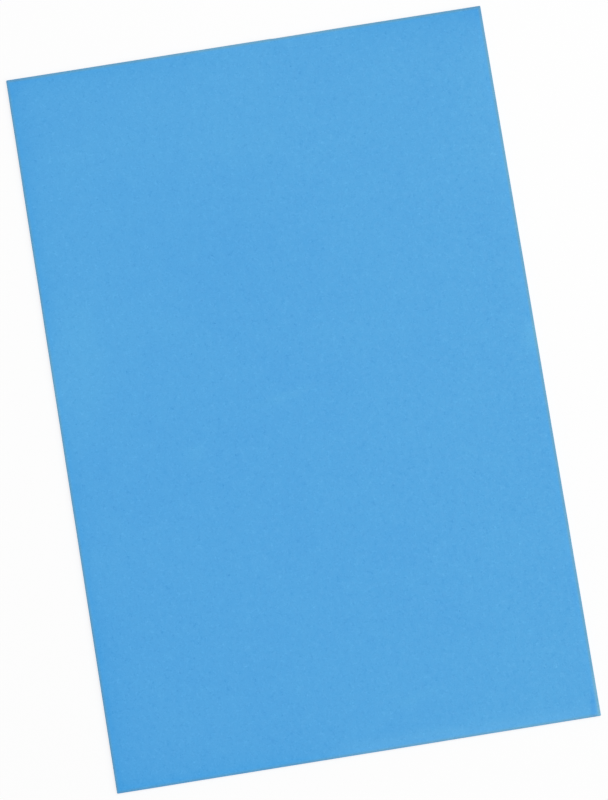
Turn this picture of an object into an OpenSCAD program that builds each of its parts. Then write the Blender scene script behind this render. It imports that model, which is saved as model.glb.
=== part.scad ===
// Craft foam sheet: one flat piece of closed-cell foam, die-cut to a rectangle.
// X runs across the sheet, Y along it and Z up. The origin is the middle of the underside.

/* [Sheet] */
// Width of the cut sheet, along X
sheet_w = 200; // [60:1:450]
// Length of the cut sheet, along Y
sheet_l = 300; // [60:1:600]
// Thickness of the foam
sheet_t = 2; // [1.5:0.1:8]
// Radius of the four corners in plan, where two cuts meet
corner_r = 0.4; // [0.1:0.1:3]

/* [Cut edge] */
// Width of the shoulder, the band along each cut that was pressed down as the blade went in
shoulder_w = 6; // [2:0.5:15]
// How far the shoulder has sunk below the top face where it reaches the edge
shoulder_drop = 0.15; // [0:0.05:0.4]
// Radius of the upper edge, drawn in where the blade entered
upper_edge_r = 0.25; // [0.1:0.05:0.5]
// Radius of the lower edge, where the blade came out
lower_edge_r = 0.1; // [0.05:0.05:0.3]
// Depth of the hollow in the cut wall, left as the squeezed foam sprang back
wall_hollow = 0.1; // [0:0.02:0.2]

/* [Hidden] */

foam_colour = [0.345, 0.659, 0.882];

// Straight steps along each curve of the edge section
shoulder_steps = 12;
edge_steps = 5;
wall_steps = 8;

// Slope of the shoulder where it meets the upper edge, and the height of that edge's centre
shoulder_slope = atan(2 * shoulder_drop / (shoulder_w - upper_edge_r));
upper_edge_z = sheet_t - shoulder_drop - upper_edge_r * cos(shoulder_slope);

// How far a bar runs past the sheet, so that its ends take no part in the cut
overrun = 5;

// The shares of the way along a curve, from its first step to its end
function shares(steps) = [for (i = [1 : steps]) i / steps];

// Shoulder: a parabola that leaves the top face level and falls to the upper edge
function shoulder(half, run = shoulder_w - upper_edge_r * (1 - sin(shoulder_slope))) =
    [for (s = concat([0], shares(shoulder_steps)))
        [half - shoulder_w + s * run, sheet_t - shoulder_drop * s * s]];

// Upper edge: an arc from the shoulder's slope down to upright
function upper_edge(half) =
    [for (s = shares(edge_steps))
        let (a = (90 - shoulder_slope) * (1 - s))
        [half - upper_edge_r * (1 - cos(a)), upper_edge_z + upper_edge_r * sin(a)]];

// Cut wall: upright at both ends and hollow between them
function cut_wall(half) =
    [for (s = shares(wall_steps))
        [half - wall_hollow * pow(sin(180 * s), 2), upper_edge_z + s * (lower_edge_r - upper_edge_z)]];

// Lower edge: an arc from upright to the flat underside
function lower_edge(half) =
    [for (s = shares(edge_steps))
        [half - lower_edge_r * (1 - cos(90 * s)), lower_edge_r * (1 - sin(90 * s))]];

// Section of a strip of sheet from cut to cut, in X and Z, as wide as twice half
function section(half) =
    let (side = concat(shoulder(half), upper_edge(half), cut_wall(half), lower_edge(half)))
    concat(side, [for (i = [len(side) - 1 : -1 : 0]) [-side[i].x, side[i].y]]);

// A strip of sheet along Y with both of its long sides cut
module cut_strip(width, length)
    rotate([90, 0, 0])
        linear_extrude(length + 2 * overrun, center = true)
            polygon(section(width / 2));

// Plan of the sheet with its corner radius
module cut_plan() {
    square([sheet_w - 2 * corner_r, sheet_l], center = true);
    square([sheet_w, sheet_l - 2 * corner_r], center = true);
    for (x = [-1, 1], y = [-1, 1])
        translate([x * (sheet_w / 2 - corner_r), y * (sheet_l / 2 - corner_r)])
            circle(r = corner_r, $fn = 48);
}

// The sheet: two cut strips crossed, so that the edge sections meet in mitres at the corners
module foam_sheet()
    color(foam_colour)
        intersection() {
            cut_strip(sheet_w, sheet_l);
            rotate([0, 0, 90]) cut_strip(sheet_l, sheet_w);
            linear_extrude(sheet_t) cut_plan();
        }

foam_sheet();
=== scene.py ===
"""Craft foam sheet lying on a pale studio floor: its visible mesh, finish, lights and camera.

Lengths are in millimetres, and are turned into metres where the mesh or the camera is made. Those
of the lamps and the floor are in metres. Side names are as seen from above, with north towards +Y.
"""
import math

import bpy
import numpy as np
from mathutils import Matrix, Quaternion, Vector


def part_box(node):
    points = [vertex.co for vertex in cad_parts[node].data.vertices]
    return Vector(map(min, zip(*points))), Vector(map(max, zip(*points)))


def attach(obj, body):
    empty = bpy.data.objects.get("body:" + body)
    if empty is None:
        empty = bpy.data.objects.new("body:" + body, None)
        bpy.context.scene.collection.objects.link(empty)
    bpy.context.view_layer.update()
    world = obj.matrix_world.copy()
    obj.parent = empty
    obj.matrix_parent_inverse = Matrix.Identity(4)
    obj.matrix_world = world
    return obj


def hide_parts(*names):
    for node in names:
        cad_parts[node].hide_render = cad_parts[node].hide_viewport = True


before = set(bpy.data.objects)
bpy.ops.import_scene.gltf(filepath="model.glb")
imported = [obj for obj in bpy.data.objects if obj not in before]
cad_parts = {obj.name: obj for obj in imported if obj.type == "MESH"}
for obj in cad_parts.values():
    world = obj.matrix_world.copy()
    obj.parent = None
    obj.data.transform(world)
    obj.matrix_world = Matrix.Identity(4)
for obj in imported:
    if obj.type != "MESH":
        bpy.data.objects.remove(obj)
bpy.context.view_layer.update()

MM = 0.001
SHEET = "foam_sheet"

# ---------------------------------------------------------------- cut section
# The same section as the solid's.
SHOULDER_WIDTH = 6.0
SHOULDER_DROP = 0.15
UPPER_EDGE_RADIUS = 0.25
LOWER_EDGE_RADIUS = 0.1
WALL_HOLLOW = 0.1
CORNER_RADIUS = 0.4
# How sharply two shoulders meet at a corner: higher is closer to a plain mitre.
SHOULDER_MEETING = 4

UPPER_EDGE_STEPS = 6
WALL_STEPS = 8
LOWER_EDGE_STEPS = 4
CORNER_STEPS = 5

# ---------------------------------------------------------------- mesh density
EDGE_STEP = 0.25
STEP_GROWTH = 1.28
MIDDLE_STEP = 1.6

# ---------------------------------------------------------------- lie of the faces
# All of these are taken off the plain block, so that the sheet stays within its size.
SWELL_DEPTH = 0.03
SWELL_CELL = 38.0
RIPPLE_DEPTH = 0.012
RIPPLE_CELL = 9.0
UNDERSIDE_LIFT = 0.03
CUT_WANDER = 0.04
CUT_WANDER_CELL = 14.0
# A shallow dip in the north cut: where along it the dip starts and has faded out, and its depth.
CUT_DIP = (12.5, 40.0, 0.12)

# Random seeds of the fields above.
SWELL_SEED = 11
RIPPLE_SEED = 12
UNDERSIDE_SEED = 21
CUT_SEED = 31
# Numbers along each side of the random table behind a field, and a shift that keeps places positive.
NOISE_TABLE = 128
NOISE_SHIFT = 50.0

# ---------------------------------------------------------------- marks on the top face
# Soft-edged marks, broad ones and narrow ones. Middle x and y, half length and half width, turn in
# degrees, and how much paler (+) or darker (-) in steps.
PATCHES = (
    (-5, 45, 50, 32, 90, -1.0),
    (-30, 62, 18, 18, 0, -1.0),
    (-70, 57, 14, 10, 90, -0.9),
    (0, -35, 50, 36, 90, -0.7),
    (7, -12, 9, 9, 0, -1.1),
    (31, -68, 13, 9, 0, -1.4),
    (28, 22, 18, 12, 0, 1.3),
    (-80, 70, 62, 21, 90, 1.6),
    (-91, 20, 34, 12, 78, 3.2),
    (-86, -50, 30, 18, 90, 0.8),
    (-88, -125, 40, 26, 90, -0.6),
    (-15, -80, 30, 9, 90, 0.8),
    (72, -120, 40, 32, 0, 0.8),
    (90, -18, 36, 14, 90, -0.9),
    (68, 82, 34, 12, 0, 0.8),
    (26, 105, 26, 11, 0, 0.8),
    (-26, 121, 40, 25, 0, 1.6),
    (84, 142, 34, 11, 0, -1.6),
    (90, 100, 20, 9, 90, 1.0),
    (99, 9, 6, 5, 90, 3.6),
    (-100, 150, 9, 7, 0, -3.0),
    (100, 150, 9, 7, 0, -4.0),
    (-4, 26, 24, 8, -48, 0.9),
    (-57, 137, 9, 6, -20, -1.0),
    (-54, 86, 10, 6, 40, 0.8),
    (-25, -88, 6, 6, 0, 1.1),
    (88, -57, 8, 4, -10, 0.9),
    (-91, -56, 8, 5, 0, 0.7),
)
STREAKS = (
    (-6, 0.5, 13, 2.0, 10, 3.8),
    (-10, -4, 9, 1.8, 16, 1.0),
    (-46, -17, 4, 3.5, 0, 2.6),
    (-54, -93, 12, 1.6, -6, -1.0),
    (26, -131, 12, 2.0, 14, 2.2),
    (20, -146, 24, 2.5, 0, 1.5),
    # The next two dark lines by the east cut are painted shade along a slight crease there.
    (97.3, -147, 8, 1.0, 86, -8.0),
    (97.2, -98, 10, 1.3, 90, -2.5),
    (22, -42, 9, 1.6, -68, 1.0),
    (63, -33, 5, 1.8, -34, 1.2),
    (-55, 101, 10, 2.2, -57, 1.0),
)

# Bands of painted light (+) and painted shade (-) along the cuts, where the light falls on the edges.
# Side, middle of the band along it and half length, how far in it reaches, how suddenly it ends
# there, and how much paler (+) or darker (-) in steps.
CUT_LIGHT_AND_SHADE = (
    ("west", 94, 60, 6.0, 1.0, -3.5),
    ("west", -30, 42, 5.0, 1.0, -2.4),
    ("west", -118, 48, 6.5, 1.0, -4.0),
    ("north", -62, 50, 7.0, 1.0, -3.6),
    ("north", -30, 14, 1.4, 1.0, 4.5),
    ("north", 20, 40, 4.0, 1.0, -1.6),
    ("north", 12, 48, 1.2, 1.0, 5.0),
    ("north", 76, 34, 6.0, 1.0, -3.8),
    ("east", 70, 80, 7.0, 1.0, 1.2),
    ("east", 0, 148, 0.9, 2.0, 2.2),
    ("east", -80, 9, 1.2, 3.0, 4.0),
    ("east", -127, 8, 3.2, 4.0, 1.0),
    ("east", -142, 10, 1.4, 3.0, 11.5),
    ("south", -64, 50, 5.5, 1.0, -4.9),
    ("south", 52, 60, 4.3, 2.5, 4.9),
    ("south", 0, 104, 0.9, 3.0, -3.0),
)

# How suddenly a band ends along its cut.
BAND_END = 6

# Open pores in the top face. The clearest one has a place of its own: x, y and radius. The others
# are scattered: how many, how far they stay in from the cuts, their radii and their seed. Below
# them, how much painted shade darkens a pore, in steps, and how deep it is, in units of the relief.
CLEAREST_PORE = (-41, -69, 0.55)
PORE_COUNT = 11
PORE_INSET = 6.0
PORE_SMALLEST = 0.34
PORE_LARGEST = 0.40
PORE_SEED = 41
PORE_SHADE = 14.0
PORE_DEPTH = 3.0

# ---------------------------------------------------------------- finish
FOAM_COLOUR = (0.063, 0.358, 0.725)
# The rim beside each cut is coloured greyer than the faces: how far in from each cut the greyer
# colour reaches, and the width over which it fades out.
RIM_COLOUR = (0.107, 0.336, 0.530)
RIM_REACH = {"west": 1.14, "east": 1.31, "south": 1.07, "north": 1.35}
RIM_FADE = 0.75
# Past this step of the rounded upper edge, and on the cut wall, only this share of it is left.
RIM_LAST_STEP = 1
CUT_SHARE = 0.2
# Just inside the rim the skin is a little bluer: the middle and half width of that strip, and how
# far its colour goes away from the rim's.
STRIP_MIDDLE = 2.0
STRIP_HALF = 1.0
STRIP_SHARE = 0.07
# What one step paler adds to the colour: in the grain with the painted shade of pores and cells, in
# the marks, and in the painted light and shade along the cuts.
FINE_TONE_STEP = (0.0022, 0.0054, 0.0056)
MARK_STEP = (0.0023, 0.0052, 0.0018)
CUT_LIGHT_AND_SHADE_STEP = (0.0035, 0.0042, 0.0026)
# A painted tint of the light, which changes across the sheet: what this span towards the east and
# towards the north adds.
TINT_SPAN = 100.0
EAST_LIGHT_TINT = (0.0004, -0.0002, -0.0125)
NORTH_LIGHT_TINT = (0.0013, -0.0004, -0.0057)
# Grain of the skin: size of its bumps, octaves, and strength in steps.
GRAIN = (
    (0.60, 1.0, 17.0),
    (1.3, 1.0, 7.4),
    (3.2, 1.0, 3.6),
)
# How unevenly the grain is spread: size of its spots, octaves, span, and least strength.
GAIN_CELL = 2.0
GAIN_OCTAVES = 1.0
GAIN_SPAN = 5.0
GAIN_LEAST = 0.1
# Larger, fainter variation of the batch's colour, in the same form as the grain.
MOTTLE = (
    (8.0, 1.0, 2.4),
    (22.0, 1.0, 2.4),
    (60.0, 1.0, 3.5),
)
# Relief of the skin, in the same form, and the height of one unit of it.
RELIEF = (
    (0.4, 2.0, 1.0),
    (1.1, 1.0, 1.0),
)
RELIEF_UNIT = 0.02
SPECULAR_LEVEL = 0.4
ROUGHNESS_LOW = 0.56
ROUGHNESS_HIGH = 0.68
ROUGHNESS_CELL = 2.2
ROUGHNESS_OCTAVES = 3.0
# The cut wall shows opened cells: their size, how narrow they are, how much painted shade darkens
# their middles and how much deeper these are, and how much rougher the wall is than the skin.
CELL_SIZE = 0.3
CELL_NARROW = 1.6
CELL_SHADE = 12.0
CELL_DEPTH = 4.0
CUT_ROUGHER = 0.15

# ---------------------------------------------------------------- camera
# Angles here and below are in degrees. Azimuth 0 is towards -Y and 90 towards +X.
CAMERA_AZIMUTH = -9.5
CAMERA_ELEVATION = 81.94
CAMERA_ROLL = 0.33
CAMERA_DISTANCE = 1973.0
CAMERA_LENS = 215.5
SENSOR_LONG_SIDE = 36.0
CAMERA_AIM = (0.97, -2.29)

# ---------------------------------------------------------------- light and floor
# Distances and sizes from here on are in metres.
WORLD_STRENGTH = 0.38
SOFTBOX_AZIMUTH = 115
SOFTBOX_ELEVATION = 72
SOFTBOX_DISTANCE = 1.6
SOFTBOX_SIZE = 0.9
SOFTBOX_POWER = 12.2
SUN_AZIMUTH = 50
SUN_ELEVATION = 42
SUN_STRENGTH = 0.85
SUN_SPREAD = 40
WHITE = (1.0, 1.0, 1.0, 1.0)
FLOOR_SIZE = 60.0
FLOOR_COLOUR = (0.95, 0.95, 0.95, 1.0)
# How much of the floor's look is plain white: up to NEAR_FLOOR from the middle of the sheet, and
# from FAR_FLOOR on.
NEAR_FLOOR = 0.25
FAR_FLOOR = 1.2
NEAR_WHITE = 0.80
FAR_WHITE = 1.0


class Block:
    """The plain block that the sheet is cut from."""

    def __init__(self, low, high):
        """low and high are the block's corners in metres."""
        self.half_w = (high.x - low.x) / 2 / MM
        self.half_l = (high.y - low.y) / 2 / MM
        self.thick = (high.z - low.z) / MM
        self.foot = np.array([high.x + low.x, high.y + low.y, 2 * low.z]) / 2 / MM

    def insets(self, x, y):
        """How far points lie in from each cut."""
        return {
            "west": self.half_w + x,
            "east": self.half_w - x,
            "south": self.half_l + y,
            "north": self.half_l - y,
        }


# ================================================================ form
def smooth_noise(x, y, cell, seed):
    """A smooth random field between about -1 and 1, with bumps about one cell across."""
    table = np.random.default_rng(seed).uniform(-1, 1, (NOISE_TABLE, NOISE_TABLE))
    column, share_x = noise_cell(x, cell)
    row, share_y = noise_cell(y, cell)
    next_column = (column + 1) % NOISE_TABLE
    next_row = (row + 1) % NOISE_TABLE
    low = table[row, column] * (1 - share_x) + table[row, next_column] * share_x
    high = table[next_row, column] * (1 - share_x) + table[next_row, next_column] * share_x
    return low * (1 - share_y) + high * share_y


def noise_cell(place, cell):
    """Which cell of the random table a place is in, and its smoothed share of the way across."""
    scaled = place / cell + NOISE_SHIFT
    number = np.floor(scaled).astype(int)
    share = scaled - number
    smooth = share**3 * (share * (share * 6 - 15) + 10)
    return number % NOISE_TABLE, smooth


def noise_depth(x, y, depth, cell, seed):
    """A smooth random field between about 0 and depth."""
    return depth * (0.5 + 0.5 * smooth_noise(x, y, cell, seed))


def grid_lines(half):
    """Places of the grid's lines along one axis, close together near the cuts."""
    steps = [EDGE_STEP]
    while steps[-1] * STEP_GROWTH < MIDDLE_STEP:
        steps.append(steps[-1] * STEP_GROWTH)
    side = half - CORNER_RADIUS - np.concatenate([[0.0], np.cumsum(steps)])
    count = round(2 * side[-1] / MIDDLE_STEP) + 1
    middle = np.linspace(-side[-1], side[-1], count)
    return np.concatenate([-side[:-1], middle, side[-2::-1]])


def shoulder_share(inset):
    """How far along the shoulder a point is: 0 on the flat, 1 where the upper edge starts."""
    return np.clip((SHOULDER_WIDTH - inset) / (SHOULDER_WIDTH - UPPER_EDGE_RADIUS), 0, 1)


def top_height(block, x, y):
    """Height of the top face."""
    across = shoulder_share(block.half_w - np.abs(x))
    along = shoulder_share(block.half_l - np.abs(y))
    both = across**SHOULDER_MEETING + along**SHOULDER_MEETING
    share = np.minimum(both ** (1 / SHOULDER_MEETING), 1.0)
    waves = noise_depth(x, y, SWELL_DEPTH, SWELL_CELL, SWELL_SEED)
    waves = waves + noise_depth(x, y, RIPPLE_DEPTH, RIPPLE_CELL, RIPPLE_SEED)
    return block.thick - SHOULDER_DROP * share**2 - waves * (1 - share**2)


def under_height(block, x, y):
    """Height of the underside: it rests on a few broad areas."""
    away = 1 - shoulder_share(block.half_w - np.abs(x)) ** 2
    away = away * (1 - shoulder_share(block.half_l - np.abs(y)) ** 2)
    return away * noise_depth(x, y, UNDERSIDE_LIFT, SWELL_CELL, UNDERSIDE_SEED)


def cut_profile(thick):
    """The cut section from the shoulder down to the underside, as (inset, height)."""
    slope = math.atan(2 * SHOULDER_DROP / (SHOULDER_WIDTH - UPPER_EDGE_RADIUS))
    centre = thick - SHOULDER_DROP - UPPER_EDGE_RADIUS * math.cos(slope)
    points = []
    for step in range(UPPER_EDGE_STEPS + 1):
        turn = slope + (math.pi / 2 - slope) * step / UPPER_EDGE_STEPS
        inset = UPPER_EDGE_RADIUS * (1 - math.sin(turn))
        points.append((inset, centre + UPPER_EDGE_RADIUS * math.cos(turn)))
    for step in range(1, WALL_STEPS + 1):
        share = step / WALL_STEPS
        inset = WALL_HOLLOW * math.sin(math.pi * share) ** 2
        points.append((inset, centre + (LOWER_EDGE_RADIUS - centre) * share))
    for step in range(1, LOWER_EDGE_STEPS + 1):
        turn = math.pi / 2 * step / LOWER_EDGE_STEPS
        inset = LOWER_EDGE_RADIUS * (1 - math.cos(turn))
        points.append((inset, LOWER_EDGE_RADIUS * (1 - math.sin(turn))))
    return points


class Outline:
    """The grid's border, anticlockwise from the south-east, with each corner opened into a fan."""

    SIDES = ("east", "north", "west", "south")

    def __init__(self, columns, rows):
        """columns and rows are the numbers of grid lines."""
        vertex, turn, side = [], [], []
        last_x = columns - 1
        last_y = rows - 1
        runs = (
            [(last_x, row) for row in range(rows)],
            [(column, last_y) for column in range(last_x, -1, -1)],
            [(0, row) for row in range(last_y, -1, -1)],
            [(column, 0) for column in range(columns)],
        )
        for number, run in enumerate(runs):
            shares = [step / CORNER_STEPS - 1 for step in range(CORNER_STEPS)]
            shares.extend([0] * (len(run) - 1))
            places = [run[0]] * CORNER_STEPS + run[:-1]
            vertex.extend(row * columns + column for column, row in places)
            turn.extend(math.pi / 2 * (number + share) for share in shares)
            side.extend([number] * len(places))
        self.vertex = np.array(vertex)
        self.turn = np.array(turn)
        self.side = np.array(side)
        self.count = len(vertex)

    def cut_reach(self, border):
        """How far out the cut lies from each of these border points."""
        x = border[:, 0]
        wander = noise_depth(x, border[:, 1], CUT_WANDER, CUT_WANDER_CELL, CUT_SEED)
        start, end, depth = CUT_DIP
        dip = depth * np.clip((end - x) / (end - start), 0, 1)
        dip[(x < start) | (self.side != self.SIDES.index("north"))] = 0
        return CORNER_RADIUS - wander - dip

    def rings(self, border, thick):
        """The cut section carried round the border: one ring of points for each of its points."""
        reach = self.cut_reach(border)
        rings = []
        for inset, height in cut_profile(thick):
            ring = border.copy()
            ring[:, 0] += (reach - inset) * np.cos(self.turn)
            ring[:, 1] += (reach - inset) * np.sin(self.turn)
            ring[:, 2] = height
            rings.append(ring)
        return rings


class Layout:
    """Where each face of the sheet lies on the bake's map: both big faces, and four edge strips."""

    GAP = 4.0
    STRIP = 14.0

    def __init__(self, block):
        self.block = block
        self.size = 4 * block.half_w + 3 * self.GAP

    def top(self, x, y):
        u = self.GAP + x + self.block.half_w
        v = self.GAP + y + self.block.half_l
        return np.stack([u, v], 1) / self.size

    def under(self, x, y):
        u = 2 * self.GAP + 3 * self.block.half_w - x
        v = self.GAP + y + self.block.half_l
        return np.stack([u, v], 1) / self.size

    def strip(self, side, along, down):
        """A point of a cut: its side, how far along it, and its share of the way down the section."""
        upper = self.size - self.GAP - side * (self.STRIP + self.GAP)
        return (self.GAP + along) / self.size, (upper - down * self.STRIP) / self.size


def grid_faces(columns, rows):
    """The grid's cells, anticlockwise from above."""
    cell = np.arange(columns * rows).reshape(rows, columns)
    corners = (cell[:-1, :-1], cell[:-1, 1:], cell[1:, 1:], cell[1:, :-1])
    return np.stack([corner.ravel() for corner in corners], 1)


def cut_faces(outline, levels, points, layout):
    """The faces between the levels of the cut section, and their places on the bake's map."""
    outer = points[levels[1 + UPPER_EDGE_STEPS]]
    step = np.linalg.norm(np.roll(outer, -1, 0) - outer, axis=1)
    along = np.zeros(outline.count)
    for side in range(len(outline.SIDES)):
        own = outline.side == side
        along[own] = np.cumsum(step[own]) - step[own]
    down = np.linspace(0, 1, len(levels))
    faces, uvs = [], []
    for level, (upper, lower) in enumerate(zip(levels, levels[1:])):
        for k in range(outline.count):
            n = (k + 1) % outline.count
            corners = [
                (upper[k], along[k], down[level]),
                (lower[k], along[k], down[level + 1]),
                (lower[n], along[k] + step[k], down[level + 1]),
                (upper[n], along[k] + step[k], down[level]),
            ]
            if upper[k] == upper[n]:
                corners.pop(3)
            if lower[k] == lower[n]:
                corners.pop(2)
            faces.append([int(point) for point, run, share in corners])
            uvs.extend(layout.strip(outline.side[k], run, share) for point, run, share in corners)
    return faces, uvs


# ================================================================ marks
def cut_light_and_shade_tone(insets, x, y):
    """Painted light and painted shade along the four cuts, in steps."""
    tone = np.zeros_like(x)
    for side, middle, half, reach, suddenness, step in CUT_LIGHT_AND_SHADE:
        run = y if side in ("west", "east") else x
        stretch = np.exp(-(((run - middle) / half) ** BAND_END))
        fade = np.exp(-((np.maximum(insets[side], 0) / reach) ** suddenness))
        tone = tone + step * stretch * fade
    return tone


def mark_tone(x, y):
    """The soft marks, with the painted shade of a slight crease by the east cut among them, in steps.
    """
    tone = np.zeros_like(x)
    for middle_x, middle_y, length, width, degrees, step in PATCHES + STREAKS:
        turn = math.radians(degrees)
        along = (x - middle_x) * math.cos(turn) + (y - middle_y) * math.sin(turn)
        across = (y - middle_y) * math.cos(turn) - (x - middle_x) * math.sin(turn)
        away = (along / length) ** 2 + (across / width) ** 2
        tone = tone + step * np.exp(-(away**2))
    return tone


def rim_share(insets):
    """Share of the rim colour on the faces: 1 beside the cuts and just below 0 inside the rim."""
    nearest = np.minimum.reduce(list(insets.values()))
    strip = STRIP_SHARE * np.clip(1 - np.abs(nearest - STRIP_MIDDLE) / STRIP_HALF, 0, 1)
    rim = np.zeros_like(nearest)
    for side, reach in RIM_REACH.items():
        rim = np.maximum(rim, np.clip((reach - insets[side]) / RIM_FADE, 0, 1))
    return rim - strip * (1 - rim)


def point_values(block, points, rim_end, wall_first, wall_end):
    """What the finish needs: tone of marks and of the painted light and shade at the cuts in steps,
    and share of rim colour and cut.
    """
    x, y, z = points.T
    insets = block.insets(x, y)
    upper = z > block.thick / 2
    rim = rim_share(insets)
    rim[rim_end:] *= CUT_SHARE
    cut = np.zeros(len(points))
    cut[wall_first:wall_end] = 1
    marks = mark_tone(x, y) * upper
    # Painted light and painted shade along the cuts.
    painted_cut_shading = cut_light_and_shade_tone(insets, x, y) * upper
    return {"marks": marks, "painted_cut_shading": painted_cut_shading, "rim": rim, "cut": cut}


def build_sheet(block):
    """The whole sheet as one closed mesh."""
    xs = grid_lines(block.half_w)
    ys = grid_lines(block.half_l)
    gx, gy = (grid.ravel() for grid in np.meshgrid(xs, ys))
    outline = Outline(len(xs), len(ys))
    layout = Layout(block)

    top = np.stack([gx, gy, top_height(block, gx, gy)], 1)
    under = np.stack([gx, gy, under_height(block, gx, gy)], 1)
    rings = outline.rings(top[outline.vertex], block.thick)
    points = np.concatenate([top, *rings, under])
    starts = len(top) + outline.count * np.arange(len(rings) + 1)
    levels = [outline.vertex]
    levels.extend(start + np.arange(outline.count) for start in starts[:-1])
    levels.append(outline.vertex + starts[-1])

    top_faces = grid_faces(len(xs), len(ys))
    under_faces = top_faces[:, ::-1]
    edge_faces, edge_uvs = cut_faces(outline, levels, points, layout)
    faces = top_faces.tolist() + (under_faces + starts[-1]).tolist() + edge_faces
    uvs = [
        layout.top(gx, gy)[top_faces.ravel()],
        layout.under(gx, gy)[under_faces.ravel()],
        np.array(edge_uvs),
    ]

    mesh = bpy.data.meshes.new("sheet")
    mesh.from_pydata(((points + block.foot) * MM).tolist(), [], faces)
    bake_map = mesh.uv_layers.new(name="OFBake")
    bake_map.uv.foreach_set("vector", np.concatenate(uvs).astype(np.float32).ravel())
    mesh.polygons.foreach_set("use_smooth", np.ones(len(faces), bool))
    rim_end = starts[RIM_LAST_STEP + 1]
    wall_first = starts[UPPER_EDGE_STEPS + 1]
    wall_end = starts[UPPER_EDGE_STEPS + WALL_STEPS + 1]
    finish_values = point_values(block, points, rim_end, wall_first, wall_end)
    for name, values in finish_values.items():
        layer = mesh.attributes.new(name, "FLOAT", "POINT")
        layer.data.foreach_set("value", values.astype(np.float32))
    mesh.update()
    piece = bpy.data.objects.new("foam_sheet_skin", mesh)
    bpy.context.scene.collection.objects.link(piece)
    return piece


# ================================================================ finish
class Nodes:
    """A short way to write a node tree."""

    def __init__(self, owner):
        """owner is a material or a world, whose tree is emptied."""
        owner.use_nodes = True
        self.tree = owner.node_tree
        self.tree.nodes.clear()

    def add(self, kind, settings=(), **inputs):
        node = self.tree.nodes.new(kind)
        for name, value in dict(settings).items():
            setattr(node, name, value)
        for name, value in inputs.items():
            self.put(node.inputs[name.replace("_", " ")], value)
        return node

    def put(self, socket, value):
        if isinstance(value, bpy.types.NodeSocket):
            self.tree.links.new(value, socket)
        else:
            socket.default_value = value

    def math(self, operation, first, second=0.0, clamp=False):
        node = self.add("ShaderNodeMath", {"operation": operation, "use_clamp": clamp})
        self.put(node.inputs[0], first)
        self.put(node.inputs[1], second)
        return node.outputs[0]

    def vector(self, operation, first, second):
        node = self.add("ShaderNodeVectorMath", {"operation": operation})
        self.put(node.inputs[0], first)
        self.put(node.inputs["Scale" if operation == "SCALE" else 1], second)
        return node.outputs["Value" if operation in ("DISTANCE", "LENGTH") else "Vector"]

    def attribute(self, name):
        return self.add("ShaderNodeAttribute", {"attribute_name": name}).outputs["Fac"]

    def object_place(self):
        return self.add("ShaderNodeTexCoord").outputs["Object"]

    def noise(self, place, size, octaves):
        """Noise about its middle, from about -0.5 to 0.5, with bumps of this size."""
        node = self.add("ShaderNodeTexNoise", Vector=place, Scale=1 / size, Detail=octaves)
        return self.math("SUBTRACT", node.outputs["Fac"], 0.5)

    def layered_noise(self, place, layers):
        """The sum of layers of noise, each given as size, octaves and strength."""
        parts = [
            self.math("MULTIPLY", self.noise(place, size, octaves), strength)
            for size, octaves, strength in layers
        ]
        return self.total(parts)

    def total(self, terms):
        found = terms[0]
        for term in terms[1:]:
            found = self.math("ADD", found, term)
        return found

    def mix(self, share, first, second):
        """The second shader by this share, and the first by the rest."""
        node = self.add("ShaderNodeMixShader")
        for socket, value in zip(node.inputs, (share, first.outputs[0], second.outputs[0])):
            self.tree.links.new(value, socket)
        return node

    def output(self, kind, shader):
        node = self.add(kind)
        self.tree.links.new(shader.outputs[0], node.inputs["Surface"])


def open_pores(block):
    """Middle x and y and radius of each open pore."""
    random = np.random.default_rng(PORE_SEED)
    reach = np.array([block.half_w, block.half_l]) - PORE_INSET
    middles = random.uniform(-reach, reach, (PORE_COUNT, 2))
    radii = random.uniform(PORE_SMALLEST, PORE_LARGEST, PORE_COUNT)
    scattered = [(*middle, radius) for middle, radius in zip(middles, radii)]
    return [CLEAREST_PORE, *scattered]


def pore_depth(n, place, block):
    """1 at the middle of each open pore and 0 outside it."""
    terms = []
    for x, y, radius in open_pores(block):
        away = n.vector("DISTANCE", place, Vector((x, y, block.thick)))
        share = n.math("DIVIDE", away, radius)
        terms.append(n.math("SUBTRACT", 1.0, n.math("MULTIPLY", share, share), clamp=True))
    return n.total(terms)


def cell_depth(n, place):
    """1 at the middle of each cell of the foam and 0 at its walls."""
    away = n.add("ShaderNodeTexVoronoi", Vector=place, Scale=1 / CELL_SIZE).outputs["Distance"]
    return n.math("SUBTRACT", 1.0, n.math("MULTIPLY", away, CELL_NARROW), clamp=True)


def skin_grain(n, place):
    """Grain in steps: coarse in some spots and nearly gone in others."""
    gain = n.math("MULTIPLY", n.noise(place, GAIN_CELL, GAIN_OCTAVES), GAIN_SPAN)
    gain = n.math("MAXIMUM", n.math("ADD", gain, 1.0), GAIN_LEAST)
    return n.math("MULTIPLY", n.layered_noise(place, GRAIN), gain)


def foam_colour(n, place, fine_tone):
    """The foam's colour with its fine tone, marks, painted light and shade at the cuts, painted light
    tint and greyer rim.
    """
    marks = n.math("ADD", n.layered_noise(place, MOTTLE), n.attribute("marks"))
    way = n.add("ShaderNodeSeparateXYZ", Vector=n.vector("SCALE", place, 1 / TINT_SPAN)).outputs
    parts = (
        (FINE_TONE_STEP, fine_tone),
        (MARK_STEP, marks),
        # Painted light and painted shade along the cuts.
        (CUT_LIGHT_AND_SHADE_STEP, n.attribute("painted_cut_shading")),
        # A painted tint of the light across the sheet.
        (EAST_LIGHT_TINT, way["X"]),
        (NORTH_LIGHT_TINT, way["Y"]),
        (Vector(RIM_COLOUR) - Vector(FOAM_COLOUR), n.attribute("rim")),
    )
    colour = Vector(FOAM_COLOUR)
    for added, share in parts:
        colour = n.vector("ADD", colour, n.vector("SCALE", Vector(added), share))
    return colour


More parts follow.
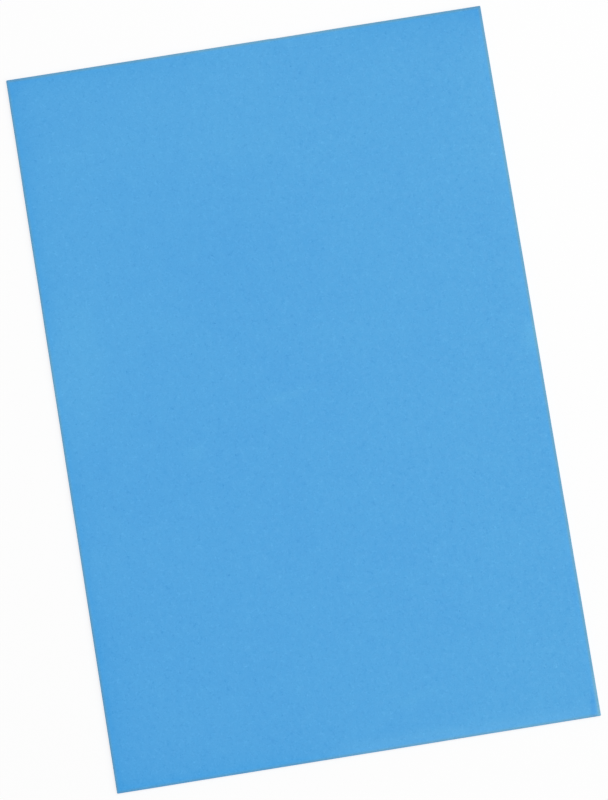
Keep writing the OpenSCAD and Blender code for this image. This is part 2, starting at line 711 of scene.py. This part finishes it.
def foam_roughness(n, place, cut):
    """Uneven roughness, higher on the cut wall. The noise seldom leaves half of its span."""
    rough = n.noise(place, ROUGHNESS_CELL, ROUGHNESS_OCTAVES)
    rough = n.math("MULTIPLY", rough, 2 * (ROUGHNESS_HIGH - ROUGHNESS_LOW))
    rough = n.math("ADD", rough, (ROUGHNESS_HIGH + ROUGHNESS_LOW) / 2)
    return n.math("ADD", rough, n.math("MULTIPLY", cut, CUT_ROUGHER))


def foam_material(block):
    material = bpy.data.materials.new("blue_foam")
    n = Nodes(material)
    place = n.vector("SCALE", n.object_place(), 1 / MM)
    cut = n.attribute("cut")
    pores = pore_depth(n, place, block)
    cells = n.math("MULTIPLY", cell_depth(n, place), cut)

    fine_tone = skin_grain(n, place)
    # Painted shade in the open pores and in the middles of the wall's opened cells.
    fine_tone = n.math("SUBTRACT", fine_tone, n.math("MULTIPLY", pores, PORE_SHADE))
    fine_tone = n.math("SUBTRACT", fine_tone, n.math("MULTIPLY", cells, CELL_SHADE))

    height = n.layered_noise(place, RELIEF)
    height = n.math("SUBTRACT", height, n.math("MULTIPLY", pores, PORE_DEPTH))
    height = n.math("SUBTRACT", height, n.math("MULTIPLY", cells, CELL_DEPTH))
    bump = n.add("ShaderNodeBump", Height=height, Strength=1.0, Distance=RELIEF_UNIT * MM)

    shader = n.add(
        "ShaderNodeBsdfPrincipled",
        Base_Color=foam_colour(n, place, fine_tone),
        Roughness=foam_roughness(n, place, cut),
        Normal=bump.outputs["Normal"],
        Specular_IOR_Level=SPECULAR_LEVEL,
    )
    n.output("ShaderNodeOutputMaterial", shader)
    return material


# ================================================================ studio
def seen_directly(n):
    """1 for camera, glossy and transmission rays."""
    path = n.add("ShaderNodeLightPath").outputs
    either = n.math("MAXIMUM", path["Is Camera Ray"], path["Is Glossy Ray"])
    return n.math("MAXIMUM", either, path["Is Transmission Ray"])


def floor_material():
    material = bpy.data.materials.new("studio_floor")
    n = Nodes(material)
    away = n.vector("LENGTH", n.object_place(), Vector())
    white_share = n.add(
        "ShaderNodeMapRange",
        Value=away,
        From_Min=NEAR_FLOOR,
        From_Max=FAR_FLOOR,
        To_Min=NEAR_WHITE,
        To_Max=FAR_WHITE,
    )
    seen = n.math("MULTIPLY", seen_directly(n), white_share.outputs["Result"])
    matte = n.add("ShaderNodeBsdfDiffuse", Color=FLOOR_COLOUR)
    white = n.add("ShaderNodeEmission", Color=WHITE, Strength=1.0)
    n.output("ShaderNodeOutputMaterial", n.mix(seen, matte, white))
    return material


def add_floor(height):
    half = FLOOR_SIZE / 2
    corners = [(x, y, height) for x, y in ((-half, -half), (half, -half), (half, half), (-half, half))]
    mesh = bpy.data.meshes.new("floor")
    mesh.from_pydata(corners, [], [(0, 1, 2, 3)])
    mesh.materials.append(floor_material())
    floor = bpy.data.objects.new("floor", mesh)
    bpy.context.scene.collection.objects.link(floor)


def add_world():
    world = bpy.data.worlds.new("studio")
    n = Nodes(world)
    dim = n.add("ShaderNodeBackground", Color=WHITE, Strength=WORLD_STRENGTH)
    white = n.add("ShaderNodeBackground", Color=WHITE, Strength=1.0)
    n.output("ShaderNodeOutputWorld", n.mix(seen_directly(n), dim, white))
    bpy.context.scene.world = world


def direction(azimuth, elevation):
    """Unit vector towards a lamp or the camera."""
    a = math.radians(azimuth)
    e = math.radians(elevation)
    return Vector((math.sin(a) * math.cos(e), -math.cos(a) * math.cos(e), math.sin(e)))


def add_facing(name, data, aim, back, distance, roll=0.0):
    """An object that stands at this distance back from the aim and faces it."""
    thing = bpy.data.objects.new(name, data)
    thing.location = aim + back * distance
    thing.rotation_mode = "QUATERNION"
    turn = Quaternion((0, 0, 1), math.radians(roll))
    thing.rotation_quaternion = back.to_track_quat("Z", "Y") @ turn
    bpy.context.scene.collection.objects.link(thing)
    return thing


def add_softbox():
    lamp = bpy.data.lights.new("overhead", "AREA")
    lamp.shape = "DISK"
    lamp.size = SOFTBOX_SIZE
    lamp.energy = SOFTBOX_POWER
    back = direction(SOFTBOX_AZIMUTH, SOFTBOX_ELEVATION)
    softbox = add_facing("overhead", lamp, Vector(), back, SOFTBOX_DISTANCE)
    softbox.visible_camera = False


def add_sun():
    lamp = bpy.data.lights.new("side", "SUN")
    lamp.energy = SUN_STRENGTH
    lamp.angle = math.radians(SUN_SPREAD)
    sun = add_facing("side", lamp, Vector(), direction(SUN_AZIMUTH, SUN_ELEVATION), 0.0)
    sun.visible_camera = False


def add_camera(top):
    """The camera aims at a point on the top face, whose height is given in metres."""
    data = bpy.data.cameras.new("camera")
    data.lens = CAMERA_LENS
    data.sensor_width = SENSOR_LONG_SIDE
    aim = Vector((CAMERA_AIM[0] * MM, CAMERA_AIM[1] * MM, top))
    back = direction(CAMERA_AZIMUTH, CAMERA_ELEVATION)
    camera = add_facing("camera", data, aim, back, CAMERA_DISTANCE * MM, CAMERA_ROLL)
    bpy.context.scene.camera = camera


low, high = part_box(SHEET)
block = Block(low, high)
sheet = build_sheet(block)
sheet.data.materials.append(foam_material(block))
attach(sheet, "root")
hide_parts(SHEET)

add_floor(low.z)
add_world()
add_softbox()
add_sun()
add_camera(high.z)
bpy.context.scene.view_settings.view_transform = "Standard"
